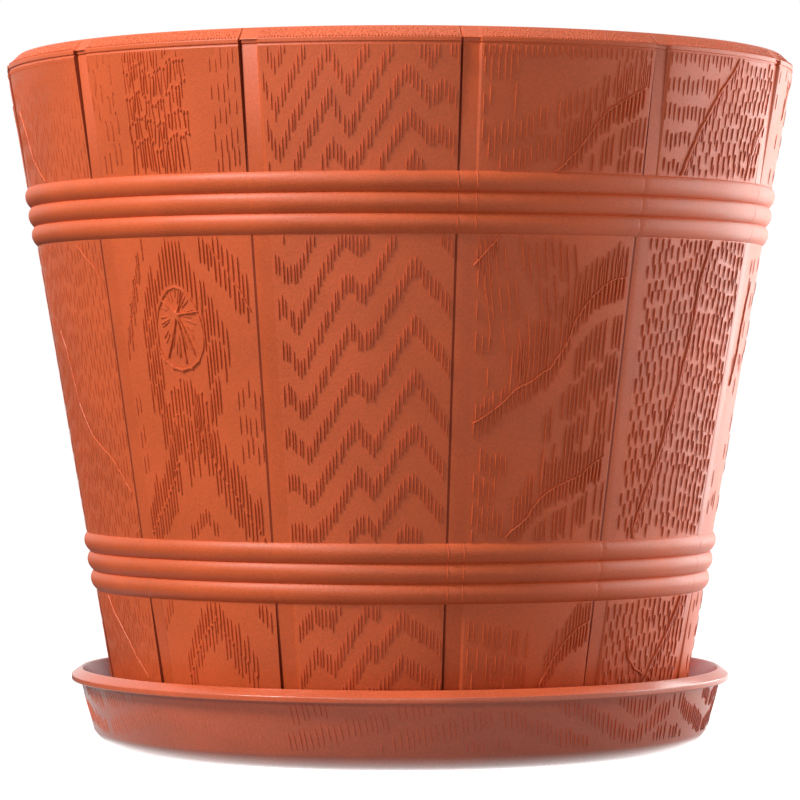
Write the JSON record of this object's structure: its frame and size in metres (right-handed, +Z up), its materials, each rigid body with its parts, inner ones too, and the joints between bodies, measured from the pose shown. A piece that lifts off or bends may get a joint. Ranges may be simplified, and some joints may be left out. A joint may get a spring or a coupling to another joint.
{
  "type": "flower pot",
  "caption": "Tapered round flower pot moulded with stave panels and rounded hoops, standing loose in a shallow saucer with a rolled lip.",
  "frame": {"origin": "on the ground under the middle of the saucer", "axes": "+Z up along the axis of the pot, -Y towards the front, +X to the right seen from the front"},
  "size_m": [0.3008, 0.3008, 0.2626],
  "materials": {
    "pot_plastic": "terracotta-coloured plastic, matte, with fine wood-grain relief",
    "saucer_plastic": "terracotta-coloured plastic, smoother and glossier than the pot"
  },
  "bodies": {
    "saucer": {"saucer": "saucer_plastic"},
    "pot": {"pot": "pot_plastic"}
  },
  "joints": [
    {"name": "pot_lift", "type": "slide", "parent": "saucer", "child": "pot", "axis": [0, 0, 1], "range_m": [0, 0.06]}
  ]
}
